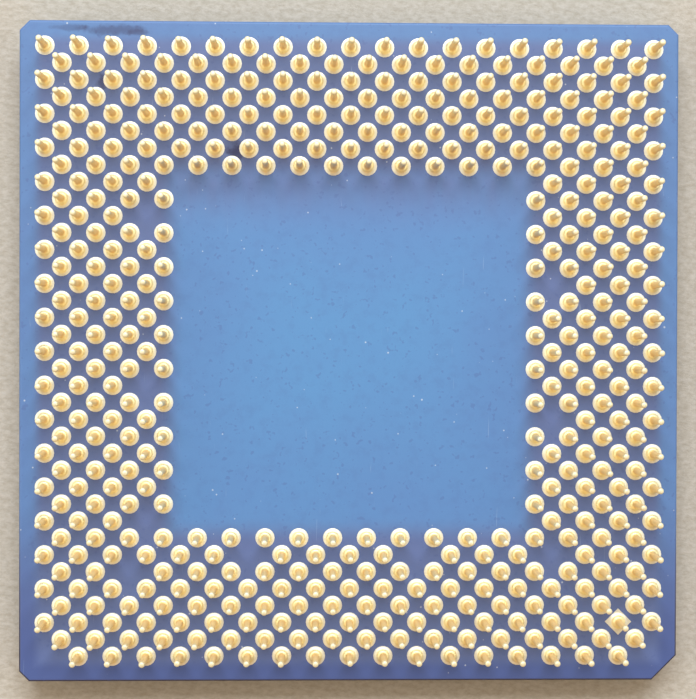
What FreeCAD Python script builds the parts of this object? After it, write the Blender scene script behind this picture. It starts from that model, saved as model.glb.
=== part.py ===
import FreeCAD, Part
import os
import Sketcher
from FreeCAD import Rotation, Vector

# A ceramic pin-grid processor package, lying on its die side with the pins pointing up.
# Z = 0 is the plane that the four support pads stand on, and X = Y = 0 is the middle of the body.
# Pin rows carry letters, from A next to the cut corner to AN, and columns the numbers 1 to 37.
# Row A is the last row towards +X, and column 1 the first one at -Y.

DIMENSIONS = {
    "body_width": (49.53, "ceramic body, across its flats"),
    "sheet_thickness": (0.35, "one of the ceramic sheets fired together"),
    "corner_cut": (0.75, "chamfer on three corners"),
    "index_cut": (1.85, "chamfer on the pin-one corner"),
    "edge_bevel": (0.20, "broken edge round both faces"),
    "plane_thickness": (0.03, "printed metal plane"),
    "plane_margin": (1.60, "ceramic left outside a metal plane"),
    "pin_pitch": (1.27, "half of the 2.54 grid, rows interleaved"),
    "grid_count": (37, "rows and columns of the grid"),
    "ring_depth": (8, "rows of pins round the empty centre"),
    "pin_reach": (3.18, "pin tip above the ceramic"),
    "pin_diameter": (0.465, "shaft"),
    "head_diameter": (0.84, "nail head under the braze"),
    "head_thickness": (0.20, "nail head"),
    "tip_bevel": (0.11, "broken end of the pin"),
    "land_diameter": (1.46, "metallised land under each pin"),
    "land_thickness": (0.03, "metallised land"),
    "braze_diameter": (1.36, "foot of the braze fillet"),
    "braze_shoulder": (0.26, "braze over the nail head"),
    "braze_climb": (0.46, "braze up the shaft"),
    "index_land_side": (1.42, "square land of the index pin"),
    "die_length": (11.00, "silicon die, along X"),
    "die_width": (10.90, "silicon die, along Y"),
    "die_thickness": (0.72, "silicon die"),
    "die_bevel": (0.05, "sawn edge of the die"),
    "bump_height": (0.12, "solder bumps under the die"),
    "bump_diameter": (0.22, "solder bump"),
    "bump_pitch": (0.50, "solder bump grid"),
    "bump_count": (20, "solder bumps along a side"),
    "underfill_foot": (1.00, "underfill beyond the die, on the ceramic"),
    "underfill_lip": (0.10, "underfill beyond the die, at its top"),
    "underfill_climb": (0.58, "underfill up from the ceramic"),
    "support_diameter": (6.60, "rubber support pad"),
    "support_height": (1.90, "rubber support pad"),
    "support_bevel": (0.20, "edge of a support pad"),
    "support_offset": (17.20, "support pad centre from the middle"),
    "capacitor_length": (1.25, "across the two end caps"),
    "capacitor_width": (2.00, "along an end cap"),
    "capacitor_height": (0.56, "ceramic brick"),
    "end_cap_wall": (0.03, "plated end cap"),
    "end_cap_band": (0.30, "end cap's reach over the brick"),
    "solder_run": (0.28, "solder beyond the end cap"),
    "solder_climb": (0.34, "solder up the end cap"),
    "capacitor_column": (9.60, "capacitors beside the die, from the middle"),
    "capacitor_row": (9.40, "capacitors above and below the die"),
    "capacitor_step": (3.30, "spacing along a column or row"),
    "print_thickness": (0.02, "printed gold on the die side"),
    "link_dot": (0.50, "round end of a trim link"),
    "link_bar": (0.14, "bar between the ends of a trim link"),
    "link_span": (0.95, "between the ends of a trim link"),
    "link_step": (0.80, "spacing of trim links in a group"),
    "marker_leg": (1.30, "pin-one triangle"),
    "marker_inset": (2.60, "pin-one triangle from the body's sides"),
}

# Grid places of the key pins and of the cut corners, which hold no pin.
EMPTY_PLACES = {"A1", "AN1", "AH6", "G7", "G15", "G23", "Q7", "AA7", "AG9", "AG17", "AG27"}
INDEX_PLACE = "C3"
SINGLE_LETTERS = "ABCDEFGHJKLMNPQRSTUVWXYZ"
ROW_LETTERS = list(SINGLE_LETTERS) + ["A" + letter for letter in "ABCDEFGHJKLMN"]

# The ceramic body from its die side up: the sheets, and the metal planes between them.
SHEETS = [
    "ceramic_die_side_sheet",
    "ceramic_lower_inner_sheet",
    "ceramic_upper_inner_sheet",
    "ceramic_pin_side_sheet",
]
PLANES = ["power_plane", "signal_plane", "ground_plane"]

# Trim links on the die side, by group: the first link's X and Y, the way the group steps
# and the number of links in it.
LINK_GROUPS = [
    (-8.4, 15.2, "along X", 5),
    (3.6, 15.2, "along X", 4),
    (-7.6, -15.4, "along X", 5),
    (2.8, -15.4, "along X", 6),
    (16.6, -3.2, "along Y", 5),
    (-16.6, -2.0, "along Y", 6),
]

document = FreeCAD.newDocument("cpu_processor")
sizes = document.addObject("Spreadsheet::Sheet", "sizes")
for line, (alias, (number, note)) in enumerate(DIMENSIONS.items(), 1):
    sizes.set(f"A{line}", alias)
    sizes.set(f"B{line}", str(number))
    sizes.set(f"C{line}", note)
    sizes.setAlias(f"B{line}", alias)
document.recompute()


class Size:
    """A length, with the sheet expression that it comes from."""

    def __init__(self, value, text):
        self.value = float(value)
        self.text = text

    def __add__(self, other):
        other = as_size(other)
        return Size(self.value + other.value, f"({self.text} + {other.text})")

    def __sub__(self, other):
        other = as_size(other)
        return Size(self.value - other.value, f"({self.text} - {other.text})")

    def __mul__(self, factor):
        return Size(self.value * factor, f"({self.text} * {factor})")

    def __truediv__(self, divisor):
        return Size(self.value / divisor, f"({self.text} / {divisor})")

    def __neg__(self):
        return Size(-self.value, f"(-{self.text})")


def as_size(value):
    return value if isinstance(value, Size) else Size(value, f"{value:g}")


def cell(alias):
    return Size(sizes.get(alias), f"sizes.{alias}")


ZERO = Size(0, "0")
DIE_SIDE = cell("support_height")
PIN_SIDE = DIE_SIDE + cell("sheet_thickness") * len(SHEETS)
DIE_TOP = DIE_SIDE - cell("bump_height")
DIE_BACK = DIE_TOP - cell("die_thickness")
nodes = {}


def keep(part, label):
    """Gives a finished sub-part its own label, which names its file."""
    part.Label = label
    nodes[label] = part
    return part


def new_body(name):
    return document.addObject("PartDesign::Body", name)


def base_plane(body, role):
    return next(item for item in body.Origin.OriginFeatures if item.Role == role)


def sketch_on(body, name, height=ZERO, role="XY_Plane"):
    """An empty sketch on one of the body's own base planes, raised by height."""
    sketch = body.newObject("Sketcher::SketchObject", name)
    sketch.AttachmentSupport = (base_plane(body, role), [""])
    sketch.MapMode = "FlatFace"
    sketch.AttachmentOffset.Base.z = height.value
    sketch.setExpression("AttachmentOffset.Base.z", height.text)
    return sketch


def pin_down(sketch, edge, end, x, y):
    """Ties one end of a sketch edge to sheet sizes."""
    for kind, size, axis in (("DistanceX", x, -2), ("DistanceY", y, -1)):
        if size.value == 0:
            sketch.addConstraint(Sketcher.Constraint("PointOnObject", edge, end, axis))
            continue
        place = Sketcher.Constraint(kind, -1, 1, edge, end, size.value)
        number = sketch.addConstraint(place)
        sketch.setExpression(f"Constraints[{number}]", size.text)


def polygon(body, name, corners, height=ZERO, role="XY_Plane"):
    """A closed outline through corners given as pairs of sizes."""
    sketch = sketch_on(body, name, height, role)
    points = [Vector(x.value, y.value, 0) for x, y in corners]
    for start, end in zip(points, points[1:] + points[:1]):
        sketch.addGeometry(Part.LineSegment(start, end), False)
    count = len(points)
    for edge in range(count):
        following = (edge + 1) % count
        sketch.addConstraint(Sketcher.Constraint("Coincident", edge, 2, following, 1))
    for edge, (x, y) in enumerate(corners):
        pin_down(sketch, edge, 1, x, y)
    return sketch


def rectangle(body, name, length, width, height=ZERO):
    """A rectangle centred on the origin."""
    x, y = length / 2, width / 2
    return polygon(body, name, [(-x, -y), (x, -y), (x, y), (-x, y)], height)


def pad(body, sketch, thickness, down=False, centred=False):
    feature = body.newObject("PartDesign::Pad", "pad")
    feature.Profile = sketch
    feature.Length = thickness.value
    feature.setExpression("Length", thickness.text)
    feature.Reversed = down
    feature.Midplane = centred
    document.recompute()
    return feature


def pocket(body, sketch, depth, up=False):
    """Cuts a pocket and makes sure that it took material away."""
    before = body.Shape.Volume
    feature = body.newObject("PartDesign::Pocket", "pocket")
    feature.Profile = sketch
    feature.Length = depth.value
    feature.setExpression("Length", depth.text)
    feature.Reversed = up
    document.recompute()
    assert body.Shape.Volume < before, f"{body.Name}: the pocket cuts nothing"
    return feature


def dress(body, kind, edges, size):
    """A chamfer or fillet on the named edges of the body's latest feature."""
    base = body.Tip
    feature = body.newObject(f"PartDesign::{kind}", kind.lower())
    feature.Base = (base, edges)
    name = "Radius" if kind == "Fillet" else "Size"
    setattr(feature, name, size.value)
    feature.setExpression(name, size.text)
    document.recompute()
    return feature


def edge_names(shape, wanted):
    """Names of the edges whose middle point passes the test."""
    named = enumerate(shape.Edges, 1)
    return [f"Edge{number}" for number, edge in named if wanted(edge.CenterOfMass)]


def rim_names(shape, height):
    """Names of the edges round a flat face at this height."""
    return edge_names(shape, lambda point: abs(point.z - height.value) < 1e-6)


def revolve(body, sketch):
    feature = body.newObject("PartDesign::Revolution", "turned")
    feature.Profile = sketch
    feature.ReferenceAxis = (sketch, ["V_Axis"])
    feature.Angle = 360
    document.recompute()
    return feature


def group(name, shapes):
    """Separate solids that share one node."""
    feature = document.addObject("Part::Feature", name)
    feature.Shape = Part.Compound(shapes)
    return feature


def placed(shape, x, y, z, turn=0):
    """A copy of a shape that was made at the origin, turned about Z and moved."""
    moved = shape.copy()
    moved.rotate(Vector(0, 0, 0), Vector(0, 0, 1), turn)
    moved.translate(Vector(x, y, z))
    return moved


def ceramic_sheet(number, label):
    """One ceramic sheet of the body, counted from the die side."""
    width, thickness = cell("body_width"), cell("sheet_thickness")
    bottom = DIE_SIDE + thickness * number
    body = new_body(label)
    pad(body, rectangle(body, "outline", width, width, bottom), thickness)
    half = width.value / 2

    def upright(point, index_corner):
        """Tells the edges between two side faces, at the pin-one corner or at the others."""
        on_corner = abs(abs(point.x) - half) < 1e-6 and abs(abs(point.y) - half) < 1e-6
        return on_corner and (point.x > 0 > point.y) == index_corner

    plain = edge_names(body.Shape, lambda point: upright(point, False))
    dress(body, "Chamfer", plain, cell("corner_cut"))
    index = edge_names(body.Shape, lambda point: upright(point, True))
    dress(body, "Chamfer", index, cell("index_cut"))
    outer_face = {0: DIE_SIDE, len(SHEETS) - 1: PIN_SIDE}.get(number)
    if outer_face:
        dress(body, "Fillet", rim_names(body.Shape, outer_face), cell("edge_bevel"))
    if number < len(PLANES):
        side = width - cell("plane_margin") * 2
        recess = rectangle(body, "recess", side, side, bottom + thickness)
        pocket(body, recess, cell("plane_thickness"))
    return keep(body, label)


def metal_plane(number, label):
    """A printed metal plane in the recess between two ceramic sheets."""
    side = cell("body_width") - cell("plane_margin") * 2
    top = DIE_SIDE + cell("sheet_thickness") * (number + 1)
    body = new_body(label)
    sheet = rectangle(body, "outline", side, side, top - cell("plane_thickness"))
    pad(body, sheet, cell("plane_thickness"))
    return keep(body, label)


def pin_blank():
    """One nail-headed pin, standing on the origin."""
    shaft, head = cell("pin_diameter") / 2, cell("head_diameter") / 2
    top = cell("pin_reach") - cell("land_thickness")
    bevel = cell("tip_bevel")
    profile = [
        (ZERO, ZERO),
        (head, ZERO),
        (head, cell("head_thickness")),
        (shaft, cell("head_thickness")),
        (shaft, top - bevel),
        (shaft - bevel * 0.4, top - bevel * 0.3),
        (shaft - bevel, top),
        (ZERO, top),
    ]
    body = new_body("pin_blank")
    revolve(body, polygon(body, "profile", profile, role="XZ_Plane"))
    return body.Shape


def braze_blank():
    """The braze that covers one nail head and climbs the shaft, standing on the origin."""
    shaft, head = cell("pin_diameter") / 2, cell("head_diameter") / 2
    foot, shoulder = cell("braze_diameter") / 2, cell("braze_shoulder")
    climb = cell("braze_climb")
    profile = [
        (head, ZERO),
        (foot, ZERO),
        (foot - (foot - head) * 0.5, shoulder * 0.35),
        (head + 0.02, shoulder * 0.88),
        (head - 0.05, shoulder),
        (shaft + 0.05, shoulder + (climb - shoulder) * 0.35),
        (shaft, climb),
        (shaft, cell("head_thickness")),
        (head, cell("head_thickness")),
    ]
    body = new_body("braze_blank")
    revolve(body, polygon(body, "profile", profile, role="XZ_Plane"))
    return body.Shape


def cylinder(name, radius, height):
    """A cylinder standing on the origin."""
    piece = document.addObject("Part::Cylinder", name)
    piece.setExpression("Radius", radius.text)
    piece.setExpression("Height", height.text)
    document.recompute()
    return piece


def pin_places():
    """Every populated grid place, as row letters and column number to X and Y."""
    count, depth = int(sizes.grid_count), int(sizes.ring_depth)
    middle, pitch = (count - 1) / 2, float(sizes.pin_pitch)
    inside = range(depth, count - depth)
    places = {}
    for row, letters in enumerate(ROW_LETTERS):
        for column in range(count):
            empty_centre = row in inside and column in inside
            name = f"{letters}{column + 1}"
            if (row + column) % 2 or empty_centre or name in EMPTY_PLACES:
                continue
            places[name] = (letters, (middle - row) * pitch, (column - middle) * pitch)
    return places


def contacts():
    """Pins by row, the lands under them and the braze round them."""
    places = pin_places()
    pin, braze = pin_blank(), braze_blank()
    land = cylinder("land_blank", cell("land_diameter") / 2, cell("land_thickness")).Shape
    face, standing = PIN_SIDE.value, PIN_SIDE.value + float(sizes.land_thickness)
    for letters in ROW_LETTERS:
        row = [(x, y) for name, x, y in places.values() if name == letters]
        label = f"pin_row_{letters.lower()}"
        keep(group(label, [placed(pin, x, y, standing) for x, y in row]), label)
    everywhere = [(x, y) for name, x, y in places.values()]
    fillets = [placed(braze, x, y, standing) for x, y in everywhere]
    keep(group("pin_braze", fillets), "pin_braze")
    round_ones = [(x, y) for name, (row, x, y) in places.items() if name != INDEX_PLACE]
    lands = [placed(land, x, y, face) for x, y in round_ones]
    keep(group("pin_lands", lands), "pin_lands")
    index_land(*places[INDEX_PLACE][1:])
    print(f"{len(everywhere)} pins")


def index_land(x, y):
    """The square land, turned by an eighth of a turn, that marks the pin-one corner."""
    reach = cell("index_land_side") * 0.5**0.5
    pitches = [round(number / float(sizes.pin_pitch)) for number in (x, y)]
    middle_x, middle_y = (cell("pin_pitch") * number for number in pitches)
    body = new_body("index_pin_land")
    corners = [
        (middle_x + reach, middle_y),
        (middle_x, middle_y + reach),
        (middle_x - reach, middle_y),
        (middle_x, middle_y - reach),
    ]
    pad(body, polygon(body, "diamond", corners, PIN_SIDE), cell("land_thickness"))
    keep(body, "index_pin_land")


def silicon_die():
    length, width = cell("die_length"), cell("die_width")
    body = new_body("silicon_die")
    pad(body, rectangle(body, "outline", length, width, DIE_BACK), cell("die_thickness"))
    dress(body, "Chamfer", rim_names(body.Shape, DIE_BACK), cell("die_bevel"))
    keep(body, "silicon_die")


def solder_bumps():
    """The grid of solder bumps that joins the die to the ceramic."""
    bump = cylinder("bump_blank", cell("bump_diameter") / 2, cell("bump_height"))
    count, pitch = int(sizes.bump_count), float(sizes.bump_pitch)
    along = [(number - (count - 1) / 2) * pitch for number in range(count)]
    bumps = [placed(bump.Shape, x, y, DIE_TOP.value) for x in along for y in along]
    return keep(group("solder_bumps", bumps), "solder_bumps")


def underfill(bumps):
    """Epoxy that fills round the bumps and rises round the die as a sloped bead."""
    length, width = cell("die_length"), cell("die_width")
    foot, lip, climb = cell("underfill_foot"), cell("underfill_lip"), cell("underfill_climb")
    body = new_body("underfill_bead")
    base = rectangle(body, "foot", length + foot * 2, width + foot * 2, DIE_SIDE)
    waist_out = lip + (foot - lip) * 0.32
    waist_height = DIE_SIDE - climb * 0.42
    waist = rectangle(body, "waist", length + waist_out * 2, width + waist_out * 2, waist_height)
    rim = rectangle(body, "rim", length + lip * 2, width + lip * 2, DIE_SIDE - climb)
    bead = body.newObject("PartDesign::AdditiveLoft", "bead")
    bead.Profile = base
    bead.Sections = [waist, rim]
    bead.Ruled = True
    document.recompute()
    seat = rectangle(body, "die_seat", length, width, DIE_TOP)
    pocket(body, seat, cell("die_thickness"))
    filled = document.addObject("Part::Cut", "underfill")
    filled.Base = body
    filled.Tool = bumps
    document.recompute()
    keep(filled, "underfill")


def support_pads():
    """Four rubber pads that carry the cooler clear of the die's edges."""
    radius, offset = cell("support_diameter") / 2, cell("support_offset")
    sides = {"left": -1, "right": 1}
    ends = {"front": -1, "back": 1}
    for end, y_sign in ends.items():
        for side, x_sign in sides.items():
            label = f"support_pad_{end}_{side}"
            body = new_body(label)
            sketch = sketch_on(body, "outline")
            middle = Vector(offset.value * x_sign, offset.value * y_sign, 0)
            circle = Part.Circle(middle, Vector(0, 0, 1), radius.value)
            sketch.addGeometry(circle, False)
            pin_down(sketch, 0, 3, offset * x_sign, offset * y_sign)
            size = sketch.addConstraint(Sketcher.Constraint("Radius", 0, radius.value))
            sketch.setExpression(f"Constraints[{size}]", radius.text)
            pad(body, sketch, cell("support_height"))
            dress(body, "Fillet", rim_names(body.Shape, ZERO), cell("support_bevel"))
            keep(body, label)


def capacitor_places():
    """Where the chip capacitors sit round the die, as X, Y and turn."""
    step = float(sizes.capacitor_step)
    column, row = float(sizes.capacitor_column), float(sizes.capacitor_row)
    beside = [(x, step * n, 0) for x in (-column, column) for n in (-1.5, -0.5, 0.5, 1.5)]
    above = [(step * n, y, 90) for y in (-row, row) for n in (-1, 0, 1)]
    return beside + above


def block(name, left, bottom, length, height, width):
    """A block centred on Y = 0, standing on the bottom size, with its left side at X."""
    body = new_body(name)
    corners = [
        (left, bottom),
        (left + length, bottom),
        (left + length, bottom + height),
        (left, bottom + height),
    ]
    side = polygon(body, "side", corners, role="XZ_Plane")
    pad(body, side, width, centred=True)
    return body


def capacitor_blanks():
    """The pieces of one chip capacitor at X = Y = 0, its end caps towards +X and -X."""
    length, width, height = (cell(f"capacitor_{word}") for word in ("length", "width", "height"))
    wall, band = cell("end_cap_wall"), cell("end_cap_band")
    run, climb, printed = cell("solder_run"), cell("solder_climb"), cell("print_thickness")
    seat = DIE_SIDE - printed
    base, end = seat - wall - height, length / 2
    brick = block("brick_blank", wall - end, base, length - wall * 2, height, width - wall * 2)
    outside = block("cap_outside", end - band, base - wall, band, height + wall * 2, width)
    inside = block("cap_inside", end - band * 2, base, band * 2 - wall, height, width - wall * 2)
    cap = document.addObject("Part::Cut", "end_cap_blank")
    cap.Base, cap.Tool = outside, inside
    solder = new_body("solder_blank")
    slope = [
        (end, seat),
        (end, seat - climb),
        (end + run * 0.4, seat - climb * 0.35),
        (end + run, seat),
    ]
    pad(solder, polygon(solder, "slope", slope, role="XZ_Plane"), width, centred=True)
    land = block("capacitor_land_blank", end - band, seat, band + run, printed, width)
    document.recompute()
    return brick.Shape, cap.Shape, solder.Shape, land.Shape


def capacitors():
    """Chip capacitors round the die: bricks, plated end caps, solder fillets and lands."""
    brick, *end_pieces = capacitor_blanks()
    places = capacitor_places()
    bricks = [placed(brick, x, y, 0, turn) for x, y, turn in places]
    keep(group("capacitor_bricks", bricks), "capacitor_bricks")
    labels = ["capacitor_end_caps", "capacitor_solder", "capacitor_lands"]
    for label, piece in zip(labels, end_pieces):
        ends = [(x, y, turn + half) for x, y, turn in places for half in (0, 180)]
        keep(group(label, [placed(piece, x, y, 0, turn) for x, y, turn in ends]), label)


def link_blank():
    """One trim link at X = Y = 0: two round ends with a bar between them, along Y."""
    printed, span = cell("print_thickness"), cell("link_span")
    seat = DIE_SIDE - printed
    bar = block("link_bar_blank", -cell("link_bar") / 2, seat, cell("link_bar"), printed, span)
    ends = [cylinder(name, cell("link_dot") / 2, printed) for name in ("near_dot", "far_dot")]
    for dot, middle in zip(ends, (-span / 2, span / 2)):
        dot.setExpression("Placement.Base.y", middle.text)
        dot.setExpression("Placement.Base.z", seat.text)
    link = document.addObject("Part::MultiFuse", "link_blank")
    link.Shapes = [bar] + ends
    link.Refine = True
    document.recompute()
    return link.Shape


def trim_links():
    """The groups of trim links on the die side."""
    link, step = link_blank(), float(sizes.link_step)
    turns = {"along X": 0, "along Y": 90}
    links = []
    for x, y, way, count in LINK_GROUPS:
        turn = turns[way]
        stride = Rotation(Vector(0, 0, 1), turn).multVec(Vector(step, 0, 0))
        spots = [Vector(x, y, 0) + stride * number for number in range(count)]
        links += [placed(link, spot.x, spot.y, 0, turn) for spot in spots]
    keep(group("trim_links", links), "trim_links")


def pin_one_marker():
    """The printed gold triangle at the pin-one corner of the die side."""
    corner, leg = cell("body_width") / 2 - cell("marker_inset"), cell("marker_leg")
    body = new_body("pin_one_marker")
    corners = [(corner, -corner), (corner, leg - corner), (corner - leg, -corner)]
    triangle = polygon(body, "triangle", corners, DIE_SIDE)
    pad(body, triangle, cell("print_thickness"), down=True)
    keep(body, "pin_one_marker")


for sheet in enumerate(SHEETS):
    ceramic_sheet(*sheet)
for plane in enumerate(PLANES):
    metal_plane(*plane)
contacts()
silicon_die()
underfill(solder_bumps())
support_pads()
capacitors()
trim_links()
pin_one_marker()
document.recompute()

for part in document.Objects:
    if {"Invalid", "Error"} & set(part.State):
        raise RuntimeError(f"{part.Name} did not build: {part.State}")
os.makedirs("parts", exist_ok=True)
for label, part in nodes.items():
    if part.Shape.isNull() or not part.Shape.isValid() or not part.Shape.Solids:
        raise RuntimeError(f"{label} is not a valid solid")
for label, part in nodes.items():
    part.Shape.exportStep(f"parts/{label}.step")
print(f"{len(nodes)} nodes, {sum(len(part.Shape.Solids) for part in nodes.values())} solids")
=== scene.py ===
import math
import random

import bmesh
import bpy
from mathutils import Matrix, Vector


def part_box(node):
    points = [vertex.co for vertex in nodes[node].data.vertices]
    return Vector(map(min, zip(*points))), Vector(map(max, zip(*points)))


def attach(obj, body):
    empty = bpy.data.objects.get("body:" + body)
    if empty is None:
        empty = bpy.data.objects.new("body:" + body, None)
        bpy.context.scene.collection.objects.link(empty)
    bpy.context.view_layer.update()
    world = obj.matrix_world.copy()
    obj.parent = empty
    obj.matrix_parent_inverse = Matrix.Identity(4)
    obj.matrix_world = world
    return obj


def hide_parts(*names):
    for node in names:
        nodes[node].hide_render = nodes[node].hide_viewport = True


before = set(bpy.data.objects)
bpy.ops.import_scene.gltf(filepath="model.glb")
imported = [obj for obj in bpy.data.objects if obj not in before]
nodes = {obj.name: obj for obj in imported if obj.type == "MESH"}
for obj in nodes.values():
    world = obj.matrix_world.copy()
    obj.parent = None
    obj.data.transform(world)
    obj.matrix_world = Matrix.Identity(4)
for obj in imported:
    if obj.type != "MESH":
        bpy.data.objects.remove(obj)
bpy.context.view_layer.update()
scene = bpy.context.scene
mm = 0.001
print("frame loaded:", len(nodes), "nodes")


def addPiece(name, bm, material, replaced=(), sharpAngle=40):
    # turns a bmesh into a piece that rides on the package
    bmesh.ops.remove_doubles(bm, verts=bm.verts, dist=1e-7)
    bmesh.ops.recalc_face_normals(bm, faces=bm.faces)
    mesh = bpy.data.meshes.new(name)
    bm.to_mesh(mesh)
    bm.free()
    mesh.shade_smooth()
    mesh.set_sharp_from_angle(angle=math.radians(sharpAngle))
    mesh.materials.append(material)
    piece = bpy.data.objects.new(name, mesh)
    scene.collection.objects.link(piece)
    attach(piece, "root")
    if replaced:
        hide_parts(*replaced)
    return piece


def metres(values):
    return [value * mm for value in values]


def turnedSolid(outline, segments):
    # spins an outline of (radius, height) pairs round Z and closes both ends
    bm = bmesh.new()
    points = [bm.verts.new((radius, 0, height)) for radius, height in outline]
    edges = [bm.edges.new(pair) for pair in zip(points, points[1:])]
    bmesh.ops.spin(bm, geom=points + edges, cent=(0, 0, 0), axis=(0, 0, 1),
                   angle=math.tau, steps=segments, use_merge=True)
    bmesh.ops.remove_doubles(bm, verts=bm.verts, dist=1e-7)
    bmesh.ops.holes_fill(bm, edges=bm.edges, sides=0)
    mesh = bpy.data.meshes.new("blank")
    bm.to_mesh(mesh)
    bm.free()
    return mesh


def addCopy(bm, blank, matrix):
    known = len(bm.verts)
    bm.from_mesh(blank)
    bm.verts.ensure_lookup_table()
    bmesh.ops.transform(bm, matrix=matrix, verts=bm.verts[known:])


def arc(centre, radius, start, end, steps):
    # points on an arc in the outline's plane, angles in degrees
    angles = [math.radians(start + (end - start) * step / steps) for step in range(steps + 1)]
    return [(centre[0] + radius * math.cos(a), centre[1] + radius * math.sin(a)) for a in angles]


def mergedCopy(name):
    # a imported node's mesh as a bmesh, with its loose triangles joined up
    bm = bmesh.new()
    bm.from_mesh(nodes[name].data)
    bmesh.ops.remove_doubles(bm, verts=bm.verts, dist=1e-7)
    bmesh.ops.dissolve_limit(bm, angle_limit=math.radians(1), verts=bm.verts, edges=bm.edges)
    return bm


def bevelSharp(bm, width, segments, sharpAngle=30):
    sharp = [edge for edge in bm.edges
             if edge.is_manifold and edge.calc_face_angle() > math.radians(sharpAngle)]
    bmesh.ops.bevel(bm, geom=sharp, offset=width, affect="EDGES", segments=segments,
                    profile=0.5, material=-1, clamp_overlap=True)


class Number:
    # wraps a socket, so that shader maths reads as Python
    def __init__(self, shader, socket):
        self.shader = shader
        self.socket = socket

    def __add__(self, other):
        return self.shader.math("ADD", self, other)

    def __radd__(self, other):
        return self.shader.math("ADD", other, self)

    def __sub__(self, other):
        return self.shader.math("SUBTRACT", self, other)

    def __rsub__(self, other):
        return self.shader.math("SUBTRACT", other, self)

    def __mul__(self, other):
        return self.shader.math("MULTIPLY", self, other)

    def __rmul__(self, other):
        return self.shader.math("MULTIPLY", other, self)


class Shader:
    # one material with a Principled surface
    def __init__(self, name):
        self.material = bpy.data.materials.new(name)
        self.material.use_nodes = True
        self.tree = self.material.node_tree
        self.surface = self.tree.nodes["Principled BSDF"]
        self.place = self.node("ShaderNodeTexCoord", output="Object")

    def node(self, kind, settings=None, inputs=None, output=0):
        made = self.tree.nodes.new(kind)
        for key, value in (settings or {}).items():
            setattr(made, key, value)
        for key, value in (inputs or {}).items():
            self.feed(made.inputs[key], value)
        return Number(self, made.outputs[output])

    def feed(self, socket, value):
        if isinstance(value, Number):
            self.tree.links.new(value.socket, socket)
        elif socket.type == "RGBA":
            socket.default_value = (*value, 1)
        else:
            socket.default_value = value

    def set(self, **inputs):
        for key, value in inputs.items():
            self.feed(self.surface.inputs[spaced(key)], value)

    def math(self, operation, first, second=0):
        return self.node("ShaderNodeMath", {"operation": operation}, {0: first, 1: second})

    def smooth(self, value, low, high):
        return self.node("ShaderNodeMapRange", {"interpolation_type": "SMOOTHSTEP"},
                         {"Value": value, "From Min": low, "From Max": high})

    def blend(self, factor, first, second):
        return self.node("ShaderNodeMix", {"data_type": "RGBA"},
                         {0: factor, 6: first, 7: second}, output=2)

    def moved(self, scale=(1, 1, 1), location=(0, 0, 0), turn=0):
        return self.node("ShaderNodeMapping", inputs={
            "Vector": self.place, "Scale": scale, "Location": location,
            "Rotation": (0, 0, math.radians(turn))})

    def length(self, vector):
        return self.node("ShaderNodeVectorMath", {"operation": "LENGTH"}, {0: vector},
                         output="Value")

    def spot(self, centre, size):
        # distance from a centre, counted in sizes given along each axis
        scale = [1 / part for part in size]
        return self.length(self.moved([part / mm for part in scale],
                                      [-a * b for a, b in zip(centre, scale)]))

    def noise(self, perMm, detail=3, roughness=0.5, where=None, distortion=0):
        return self.node("ShaderNodeTexNoise", inputs={
            "Vector": where or self.place, "Scale": perMm / mm, "Detail": detail,
            "Roughness": roughness, "Distortion": distortion})

    def cells(self, perMm):
        return self.node("ShaderNodeTexVoronoi", inputs={
            "Vector": self.place, "Scale": perMm / mm}, output="Distance")

    def axis(self, letter):
        return self.node("ShaderNodeSeparateXYZ", inputs={0: self.place}, output=letter)

    def bump(self, height, deepMm, strength):
        normal = self.node("ShaderNodeBump", inputs={
            "Height": height, "Distance": deepMm * mm, "Strength": strength})
        self.feed(self.surface.inputs["Normal"], normal)


def spaced(name):
    # baseColor becomes Base Color
    words = "".join(" " + letter if letter.isupper() else letter for letter in name)
    return {"ior": "IOR"}.get(name, words.title())


cameraSetup = {
    "lens": 81.7,
    "sensor": 36,
    "near": 5 * mm,
    "far": 10,
    "place": (-3.17 * mm, 1.14 * mm, 122.5 * mm),
    "turn": (-0.46, -1.45, 0.16),         # degrees
}

lightSetup = {
    "worldColor": (1.0, 0.66, 0.38),
    "worldStrength": 0.24,
    "distance": 0.6,
    # bearing clockwise from +Y and height, in degrees
    "back": {"bearing": 0, "height": 51, "size": (0.50, 0.26), "power": 5.1,
             "color": (0.90, 0.95, 1.0)},
    "left": {"bearing": -90, "height": 35, "size": (0.50, 0.30), "power": 1.65,
             "color": (1.0, 0.96, 0.84)},
    "right": {"bearing": 90, "height": 35, "size": (0.50, 0.30), "power": 1.25,
              "color": (1.0, 0.96, 0.84)},
    "front": {"bearing": 180, "height": 35, "size": (0.60, 0.30), "power": 0.85,
              "color": (1.0, 0.52, 0.16)},
}


def addCamera():
    lens = bpy.data.cameras.new("camera")
    lens.lens = cameraSetup["lens"]
    lens.sensor_width = cameraSetup["sensor"]
    lens.clip_start = cameraSetup["near"]
    lens.clip_end = cameraSetup["far"]
    camera = bpy.data.objects.new("camera", lens)
    camera.location = cameraSetup["place"]
    camera.rotation_euler = [math.radians(a) for a in cameraSetup["turn"]]
    scene.collection.objects.link(camera)
    scene.camera = camera


def addLight(name, bearing, height, size, power, color):
    light = bpy.data.lights.new(name, "AREA")
    light.shape = "RECTANGLE"
    light.size, light.size_y = size
    light.energy = power
    light.color = color
    lamp = bpy.data.objects.new(name, light)
    turn, rise = math.radians(bearing), math.radians(height)
    out = Vector((math.sin(turn) * math.cos(rise), math.cos(turn) * math.cos(rise),
                  math.sin(rise)))
    lamp.location = out * lightSetup["distance"]
    lamp.rotation_euler = (-out).to_track_quat("-Z", "Y").to_euler()
    scene.collection.objects.link(lamp)


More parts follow.
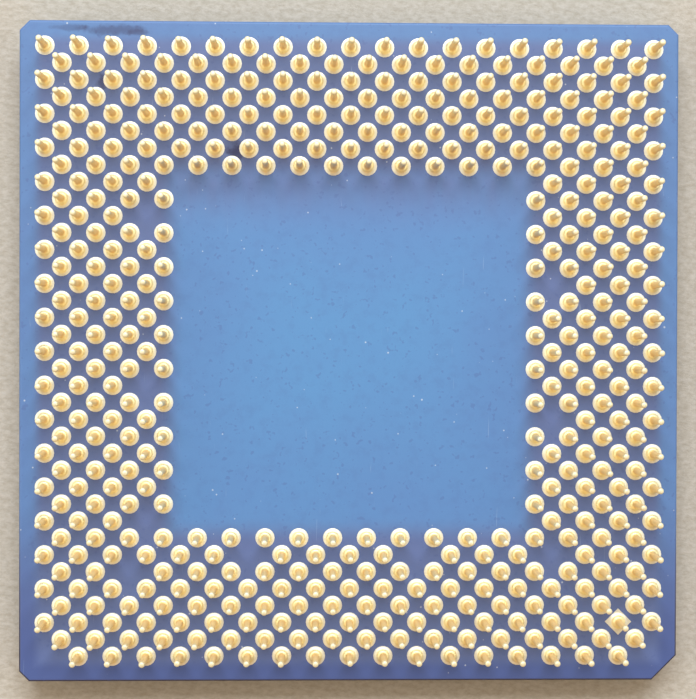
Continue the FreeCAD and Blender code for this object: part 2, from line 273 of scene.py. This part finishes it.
def addWorld():
    world = bpy.data.worlds.new("studio")
    world.use_nodes = True
    background = world.node_tree.nodes["Background"]
    background.inputs["Color"].default_value = (*lightSetup["worldColor"], 1)
    background.inputs["Strength"].default_value = lightSetup["worldStrength"]
    scene.world = world


board = {
    "dark": (0.350, 0.325, 0.275),
    "pale": (0.460, 0.440, 0.40),
    "roughness": 0.85,
    "fibresPerMm": 1.6,
    "fibreStretch": (1, 1.8, 1),
    "fibreTurn": 20,                      # degrees
    "fibreDepth": 0.12,                   # mm
    "halfSide": 1.5,                      # m
}


def addFloor():
    shader = Shader("paleBoard")
    lie = shader.moved(scale=board["fibreStretch"], turn=board["fibreTurn"])
    fibre = shader.noise(board["fibresPerMm"], detail=6, roughness=0.7, where=lie)
    color = shader.blend(shader.smooth(fibre, 0.3, 0.7), board["dark"], board["pale"])
    shader.set(baseColor=color, roughness=board["roughness"])
    shader.bump(fibre, board["fibreDepth"], 0.5)
    bm = bmesh.new()
    bmesh.ops.create_grid(bm, x_segments=1, y_segments=1, size=board["halfSide"])
    mesh = bpy.data.meshes.new("floor")
    bm.to_mesh(mesh)
    bm.free()
    mesh.materials.append(shader.material)
    floor = bpy.data.objects.new("floor", mesh)
    scene.collection.objects.link(floor)


addCamera()
addWorld()
for lightName in ("back", "left", "right", "front"):
    addLight(lightName, **lightSetup[lightName])
addFloor()
scene.view_settings.view_transform = "Standard"
print("camera, floor and light set")


# places and sizes on the ceramic are in mm
ceramic = {
    "violet": (0.062, 0.168, 0.40),
    # also a painted sky sheen, where it lies in the open middle
    "blue": (0.061, 0.205, 0.445),
    # painted shade among the pins
    "shadeAmongPins": (0.074, 0.120, 0.30),
    # painted shade along the front edge, and also the random mottle and freckle tone
    "frontShadeAndMottle": (0.039, 0.074, 0.24),
    # painted shade on the front edge's rounded rim
    "frontRimShade": (0.010, 0.010, 0.040),
    "seam": (0.032, 0.040, 0.11),
    "dirt": (0.008, 0.014, 0.085),
    "dust": (0.50, 0.56, 0.64),
    "scratch": (0.22, 0.32, 0.52),
    "roughness": 0.50,
    "ior": 1.62,
    "middle": (2, 14),                    # painted sheen: bluest inwards of this, from the middle
    "field": (12.4, 14.4),                # pins stand outwards of this, with painted shade among them
    "border": (22.9, 23.9),               # and inwards of this
    "rear": (-24, -10),                   # the front's painted shade fades out over this, along Y
    "shadeReach": (8.4, 13.8),            # the rear pins' shade comes in over this, along Y
    "pinSide": (2.9, 3.2),                # heights
    "rimFoot": (3.04, 3.12),              # the front edge's rounded rim, painted in shade, heights
    "rimTop": (3.27, 3.297),
    "seams": (2.25, 2.60, 2.95),          # between the fired sheets, heights
    "seamWidth": (0.010, 0.035),
    "seamDepth": 0.5,
    "mottleDepth": 0.16,
    "scratchDepth": 0.35,
    "dustDepth": 0.6,
    "freckleDepth": 0.35,
    "stainEdge": (1.1, 1.8),
    # centre, size and depth of colour
    "stains": [((-17.7, 24.05, 3.3), (3.1, 0.48, 1.0), 0.62),
               ((-15.9, 23.85, 3.3), (1.3, 0.30, 1.0), 0.62),
               ((-20.9, 24.20, 3.3), (1.9, 0.26, 1.0), 0.40),
               ((-18.55, 20.15, 3.3), (0.60, 0.80, 0.5), 0.85),
               ((-8.50, 15.00, 3.3), (0.90, 0.90, 0.5), 1.0)],
}


def ceramicFinish():
    shader = Shader("violetCeramic")
    x, y, z = (shader.axis(letter) for letter in "XYZ")
    cloud = shader.noise(0.09, detail=4, roughness=0.6)
    grain = shader.noise(9, detail=4, roughness=0.7)
    mottle = shader.noise(1.3, detail=4, roughness=0.6)

    def across(value, name):
        return shader.smooth(value, *metres(ceramic[name]))

    # painted sheen: bluest and lightest in the open middle, with a random cloud in the tone;
    # painted shade: deeper and redder where the pins stand and along the front edge
    out = shader.math("MAXIMUM", shader.math("ABSOLUTE", x), shader.math("ABSOLUTE", y))
    away = across(out, "middle") * 0.7 + shader.smooth(cloud, 0.35, 0.65) * 0.3
    color = shader.blend(away, ceramic["blue"], ceramic["violet"])
    pinSide = across(z, "pinSide")
    field = pinSide * across(out, "field")
    border = pinSide * across(out, "border")
    rear = across(y, "rear")
    # painted shade among the pins, lighter towards the lit rear border
    color = shader.blend(field * (1 - 0.75 * (border * rear)), color, ceramic["shadeAmongPins"])
    # painted shade along the front edge, away from the light
    color = shader.blend(border * (1 - rear), color, ceramic["frontShadeAndMottle"])
    # the rear pins' long shade, in faint slanting streaks
    streak = shader.noise(1, detail=2, where=shader.moved((0.9, 0.16, 1), turn=-28))
    shade = (pinSide - field) * across(y, "shadeReach") * (0.35 + 0.9 * streak)
    color = shader.blend(shade, color, ceramic["shadeAmongPins"])
    color = shader.blend(shader.smooth(mottle, 0.45, 0.75) * ceramic["mottleDepth"],
                         color, ceramic["frontShadeAndMottle"])
    # painted shade on the front edge's rounded rim, which faces away from the light
    shadedRim = across(z, "rimFoot") * (1 - across(z, "rimTop"))
    color = shader.blend(shadedRim * (1 - rear), color, ceramic["frontRimShade"])
    for seam in ceramic["seams"]:
        off = shader.math("ABSOLUTE", z - seam * mm)
        depth = ceramic["seamDepth"]
        color = shader.blend(depth - across(off, "seamWidth") * depth, color, ceramic["seam"])
    rub = shader.noise(1, detail=1, distortion=0.6, where=shader.moved((7, 0.35, 1), turn=14))
    color = shader.blend(shader.smooth(rub, 0.76, 0.82) * ceramic["scratchDepth"],
                         color, ceramic["scratch"])
    fleck = shader.smooth(shader.cells(0.85) + 0.12 * mottle, 0.085, 0.125)
    color = shader.blend(ceramic["dustDepth"] - fleck * ceramic["dustDepth"],
                         color, ceramic["dust"])
    freckle = 1 - shader.smooth(shader.noise(2.6, detail=1), 0.27, 0.36)
    color = shader.blend(freckle * ceramic["freckleDepth"], color, ceramic["frontShadeAndMottle"])
    for centre, size, depth in ceramic["stains"]:
        ragged = shader.spot(centre, size) + 1.5 * mottle
        color = shader.blend(depth - shader.smooth(ragged, *ceramic["stainEdge"]) * depth,
                             color, ceramic["dirt"])
    shader.set(baseColor=color, roughness=ceramic["roughness"] + 0.12 * grain, ior=ceramic["ior"])
    shader.bump(grain, 0.012, 0.5)
    return shader.material


violetCeramic = ceramicFinish()
for name in ("ceramic_die_side_sheet", "ceramic_lower_inner_sheet", "ceramic_upper_inner_sheet",
             "ceramic_pin_side_sheet"):
    nodes[name].data.materials[0] = violetCeramic
print("ceramic finished")


gold = {
    # pale rim: painted highlight, the bright sky reflected on the flat land
    "rim": (0.76, 0.77, 0.68),
    "deep": (0.91, 0.83, 0.49),
    # root: painted shade round the pin's foot, on the pad and low on the shaft
    "root": (0.90, 0.65, 0.28),
    "shaft": (0.88, 0.69, 0.35),
    # tip: painted highlight on the pin's top
    "tip": (0.78, 0.74, 0.52),
    "tarnish": (0.60, 0.40, 0.20),
    "roughness": 0.50,
    "padMetallic": 0.78,
    "shaftMetallic": 0.58,
    "tarnishDepth": 0.35,
    # where one colour gives way to the next, in mm
    "deepOut": (0.25, 0.40),              # from the pin's axis
    "rimOut": (0.50, 0.68),
    "shaftUp": (0.7, 1.9),                # above the land
    "tipDown": (0.55, 0.10),              # below the tip
}

pin = {
    "pitch": 1.27 * mm,
    "radius": 0.2325 * mm,
    "tipRound": 0.14 * mm,
    "segments": 12,
    "lean": 0.006,                        # as a slope
}

braze = {
    "foot": 0.69 * mm,
    "head": 0.42 * mm,
    "shoulder": 0.24 * mm,
    "climb": 0.46 * mm,
    "segments": 16,
    "sag": [(0, 0), (0.36, 0.13), (0.70, 0.36), (0.95, 0.64)],   # in and up, as parts
    "tall": (0.9, 1.1),                   # from one fillet to the next, as parts
}

land = {"radius": 0.73 * mm, "soft": 0.012 * mm, "segments": 18}


def fromPin(shader):
    # distance to the nearest pin's axis, on the two square grids that make the staggered one
    pitch, grids = pin["pitch"], []
    for shift in (0, pitch):
        across, along = (shader.node("ShaderNodeMath", {"operation": "WRAP"}, {
            0: shader.axis(letter) + shift, 1: pitch, 2: -pitch}) for letter in "XY")
        flat = shader.node("ShaderNodeCombineXYZ", inputs={0: across, 1: along})
        grids.append(shader.length(flat))
    return shader.math("MINIMUM", *grids)


def goldFinish(name, parts, metallic):
    # parts takes a shader and gives its colour, with its painted highlight and shade, before the
    # tarnish
    shader = Shader(name)
    patch = shader.noise(0.55, detail=2)
    grain = shader.noise(14, detail=3)
    color = shader.blend(shader.smooth(patch, 0.55, 0.95) * gold["tarnishDepth"],
                         parts(shader), gold["tarnish"])
    shader.set(baseColor=color, metallic=metallic, roughness=gold["roughness"] + 0.12 * grain)
    shader.bump(grain, 0.006, 0.35)
    return shader.material


def padColorAndLight(shader):
    # the pad's gold, with a painted highlight towards the rim and painted shade at the pin's root
    mottle = shader.noise(3.1, detail=2)
    out = fromPin(shader) + 0.12 * mm * mottle
    inner = shader.blend(shader.smooth(out, *metres(gold["deepOut"])), gold["root"], gold["deep"])
    return shader.blend(shader.smooth(out, *metres(gold["rimOut"])), inner, gold["rim"])


def shaftColorAndLight(shader):
    # the shaft's gold, with painted shade low at the root and a painted highlight at the tip
    height = shader.axis("Z")
    up = shader.smooth(height, *(landTop + above for above in metres(gold["shaftUp"])))
    end = shader.smooth(height, *(pinTop - below for below in metres(gold["tipDown"])))
    return shader.blend(end, shader.blend(up, gold["root"], gold["shaft"]), gold["tip"])


def pinPlaces():
    # reads each row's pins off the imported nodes, as places on the grid
    found = {}
    for name, node in nodes.items():
        if name.startswith("pin_row_"):
            low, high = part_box(name)
            across = (low.x + high.x) / 2
            tips = [v.co.y for v in node.data.vertices if v.co.z > high.z - 0.01 * mm]
            steps = sorted({round(y / pin["pitch"]) for y in tips})
            found[name] = [Vector((across, step * pin["pitch"], 0)) for step in steps]
    return found


places = pinPlaces()
everywhere = [place for row in sorted(places) for place in places[row]]
landLow, landTop = (corner.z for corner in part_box("pin_lands"))
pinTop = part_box("pin_row_a")[1].z
goldPad = goldFinish("goldPad", padColorAndLight, gold["padMetallic"])
goldShaft = goldFinish("goldShaft", shaftColorAndLight, gold["shaftMetallic"])
chance = random.Random(37)


def pinBlank():
    radius, tipRound, length = pin["radius"], pin["tipRound"], pinTop - landTop
    tip = arc((radius - tipRound, length - tipRound), tipRound, 0, 90, 3)
    return turnedSolid([(radius, 0)] + tip, pin["segments"])


def brazeBlank():
    # a hollow skirt up to the pin's head, then over the head and up the shaft
    foot, head, shoulder, climb = (braze[key] for key in ("foot", "head", "shoulder", "climb"))
    skirt = [(foot + (head - foot) * out, shoulder * up) for out, up in braze["sag"]]
    top = [(head, shoulder * 0.92), (head - 0.04 * mm, shoulder),
           (pin["radius"] + 0.06 * mm, shoulder + 0.03 * mm),
           (pin["radius"] - 0.002 * mm, climb)]
    return turnedSolid(skirt + top, braze["segments"])


def landBlank():
    radius, soft, thick = land["radius"], land["soft"], landTop - landLow
    edge = arc((radius - soft, thick - soft), soft, 0, 90, 1)
    return turnedSolid([(radius, 0)] + edge, land["segments"])


def addPins():
    blank = pinBlank()
    for row, spots in sorted(places.items()):
        bm = bmesh.new()
        for spot in spots:
            slope = Vector((chance.gauss(0, pin["lean"]), chance.gauss(0, pin["lean"]), 1))
            lean = Vector((0, 0, 1)).rotation_difference(slope).to_matrix().to_4x4()
            addCopy(bm, blank, Matrix.Translation(spot + Vector((0, 0, landTop))) @ lean)
        addPiece("goldPins." + row[8:], bm, goldShaft, [row])


def addBraze():
    blank = brazeBlank()
    bm = bmesh.new()
    for spot in everywhere:
        height = Matrix.Diagonal((1, 1, chance.uniform(*braze["tall"]), 1))
        addCopy(bm, blank, Matrix.Translation(spot + Vector((0, 0, landTop))) @ height)
    addPiece("brazeFillets", bm, goldPad, ["pin_braze"], sharpAngle=60)


def addLands():
    blank = landBlank()
    square = (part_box("index_pin_land")[0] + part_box("index_pin_land")[1]) / 2
    bm = bmesh.new()
    for spot in everywhere:
        if (spot - square).xy.length > pin["pitch"] / 2:
            addCopy(bm, blank, Matrix.Translation(spot + Vector((0, 0, landLow))))
    addPiece("goldLands", bm, goldPad, ["pin_lands"])


addPins()
addBraze()
addLands()
nodes["index_pin_land"].data.materials[0] = goldPad
print("pins, braze and lands made:", len(everywhere))


supportPad = {
    "edge": 0.30 * mm,
    "bulge": 0.06 * mm,
    "segments": 48,
    "wallHeights": (0.35, 0.5, 0.65),     # as parts of the whole
    "color": (0.018, 0.018, 0.021),
    "worn": (0.055, 0.055, 0.060),
}


def foamFinish():
    shader = Shader("foamRubber")
    pores = shader.cells(7)
    grain = shader.noise(22, detail=3)
    color = shader.blend(shader.smooth(pores, 0.15, 0.65), supportPad["color"],
                         supportPad["worn"])
    shader.set(baseColor=color, roughness=0.86 + 0.1 * grain)
    shader.bump(pores + 0.3 * grain, 0.06, 0.8)
    return shader.material


def addSupportPads():
    foam = foamFinish()
    edge, bulge = supportPad["edge"], supportPad["bulge"]
    for corner in ("back_left", "back_right", "front_left", "front_right"):
        low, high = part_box("support_pad_" + corner)
        radius, tall = (high.x - low.x) / 2, high.z - low.z
        foot = arc((radius - bulge - edge, edge), edge, -90, 0, 5)
        wall = [(radius - bulge * abs(2 * up - 1) ** 2, tall * up)
                for up in supportPad["wallHeights"]]
        blank = turnedSolid(foot + wall + [(radius - bulge, tall)], supportPad["segments"])
        bm = bmesh.new()
        middle = Vector(((low.x + high.x) / 2, (low.y + high.y) / 2, low.z))
        addCopy(bm, blank, Matrix.Translation(middle))
        addPiece("rubberPad." + corner, bm, foam, ["support_pad_" + corner])


addSupportPads()
print("support pads made")


die = {
    "color": (0.16, 0.17, 0.20),
    "sheen": (0.27, 0.29, 0.34),
    "roughness": 0.16,
    "metallic": 0.85,
    "groovesPerMm": 9,
    "groovesFrom": (0.031, 0.044, 0),     # m
}

bead = {
    "corner": 1.35 * mm,
    "cornerSteps": 8,
    # how far in from the foot and how far up, as parts of the whole
    "slope": [(0, 0), (0.03, 0.07), (0.22, 0.19), (0.43, 0.36), (0.64, 0.60), (0.80, 0.85),
              (0.88, 0.97), (0.92, 1), (1, 1)],
    "color": (0.012, 0.012, 0.014),
    "thin": (0.050, 0.040, 0.030),
}


def siliconFinish():
    # grinding leaves fine arcs across the bare back of the die
    shader = Shader("groundSilicon")
    swirl = shader.length(shader.moved(location=die["groovesFrom"]))
    grooves = shader.node("ShaderNodeTexNoise", {"noise_dimensions": "1D"},
                          {"W": swirl * (die["groovesPerMm"] / mm), "Scale": 1.0, "Detail": 3})
    cloud = shader.noise(0.35, detail=3)
    color = shader.blend(shader.smooth(grooves, 0.3, 0.7), die["color"], die["sheen"])
    shader.set(baseColor=color, metallic=die["metallic"],
               roughness=die["roughness"] + 0.14 * cloud)
    shader.bump(grooves, 0.002, 0.5)
    return shader.material


def epoxyFinish():
    shader = Shader("darkEpoxy")
    cloud = shader.noise(0.8, detail=3)
    fill = shader.noise(18, detail=2)
    color = shader.blend(shader.smooth(cloud, 0.4, 0.7), bead["color"], bead["thin"])
    shader.set(baseColor=color, roughness=0.20 + 0.25 * fill)
    shader.bump(cloud + 0.15 * fill, 0.05, 0.5)
    return shader.material


def addBead():
    # the foot's rounded rectangle is inset down the slope to the die, then goes up behind it
    low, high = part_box("underfill")
    dieLow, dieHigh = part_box("silicon_die")
    reach, climb = dieLow.x - low.x, high.z - low.z
    bm = bmesh.new()
    bmesh.ops.create_grid(bm, x_segments=1, y_segments=1, size=0.5)
    bmesh.ops.reverse_faces(bm, faces=bm.faces)
    bmesh.ops.scale(bm, vec=(high.x - low.x, high.y - low.y, 1), verts=bm.verts)
    bmesh.ops.translate(bm, vec=(0, 0, high.z), verts=bm.verts)
    bmesh.ops.bevel(bm, geom=bm.verts[:], offset=bead["corner"], affect="VERTICES",
                    segments=bead["cornerSteps"], profile=0.5, material=-1)
    face = bm.faces[:]
    for (outA, upA), (outB, upB) in zip(bead["slope"], bead["slope"][1:]):
        bmesh.ops.inset_region(bm, faces=face, thickness=(outB - outA) * reach,
                               depth=(upB - upA) * climb, use_even_offset=True)
    grown = bmesh.ops.extrude_face_region(bm, geom=face)["geom"]
    bmesh.ops.delete(bm, geom=face, context="FACES_ONLY")
    inner = [item for item in grown if isinstance(item, bmesh.types.BMVert)]
    bmesh.ops.translate(bm, vec=(0, 0, dieHigh.z - low.z), verts=inner)
    bmesh.ops.holes_fill(bm, edges=bm.edges, sides=0)
    addPiece("epoxyBead", bm, epoxyFinish(), ["underfill"])


addBead()
nodes["silicon_die"].data.materials[0] = siliconFinish()
print("die and its bead finished")


capacitor = {
    "brick": (0.30, 0.21, 0.15),
    "speckle": (0.46, 0.36, 0.28),
    "tin": (0.62, 0.61, 0.60),
    "tinDull": (0.40, 0.39, 0.40),
    "edge": 0.05 * mm,
    "capEdge": 0.07 * mm,
    "capRoughness": 0.38,
    "solderRoughness": 0.20,
}


def brickFinish():
    shader = Shader("speckledBrick")
    speckle = shader.noise(24, detail=3, roughness=0.7)
    cloud = shader.noise(1.1, detail=2)
    color = shader.blend(shader.smooth(speckle + 0.3 * cloud, 0.5, 0.9), capacitor["brick"],
                         capacitor["speckle"])
    shader.set(baseColor=color, roughness=0.52 + 0.2 * speckle)
    shader.bump(speckle, 0.008, 0.5)
    return shader.material


def tinFinish(name, roughness):
    shader = Shader(name)
    grain = shader.noise(12, detail=4, roughness=0.6)
    color = shader.blend(shader.smooth(grain, 0.35, 0.7), capacitor["tin"],
                         capacitor["tinDull"])
    shader.set(baseColor=color, metallic=1.0, roughness=roughness + 0.2 * grain)
    shader.bump(grain, 0.02, 0.4)
    return shader.material


def addSoftened(name, source, width, material):
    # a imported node's shape with its edges rounded over
    bm = mergedCopy(source)
    bevelSharp(bm, width, 2)
    addPiece(name, bm, material, [source], sharpAngle=50)


dullTin = tinFinish("dullTin", capacitor["capRoughness"])
brightSolder = tinFinish("brightSolder", capacitor["solderRoughness"])
addSoftened("capacitorBricks", "capacitor_bricks", capacitor["edge"], brickFinish())
addSoftened("capacitorCaps", "capacitor_end_caps", capacitor["capEdge"], dullTin)
addSoftened("solderFillets", "capacitor_solder", capacitor["edge"] / 2, brightSolder)
nodes["solder_bumps"].data.materials[0] = brightSolder
print("capacitors made")


printed = {
    "gold": (0.93, 0.70, 0.36),
    "goldWorn": (0.78, 0.55, 0.27),
    "tungsten": (0.24, 0.23, 0.22),
    "tungstenDark": (0.13, 0.125, 0.12),
    "goldRoughness": 0.36,
    "tungstenRoughness": 0.55,
}


def printedFinish(name, bright, dull, roughness):
    shader = Shader(name)
    grain = shader.noise(16, detail=4, roughness=0.6)
    color = shader.blend(shader.smooth(grain, 0.35, 0.7), bright, dull)
    shader.set(baseColor=color, metallic=1.0, roughness=roughness + 0.15 * grain)
    shader.bump(grain, 0.004, 0.4)
    return shader.material


printedGold = printedFinish("printedGold", printed["gold"], printed["goldWorn"],
                            printed["goldRoughness"])
bakedTungsten = printedFinish("bakedTungsten", printed["tungsten"], printed["tungstenDark"],
                              printed["tungstenRoughness"])
for name in ("trim_links", "pin_one_marker", "capacitor_lands"):
    nodes[name].data.materials[0] = printedGold
for name in ("power_plane", "signal_plane", "ground_plane"):
    nodes[name].data.materials[0] = bakedTungsten
print("printed metal finished")
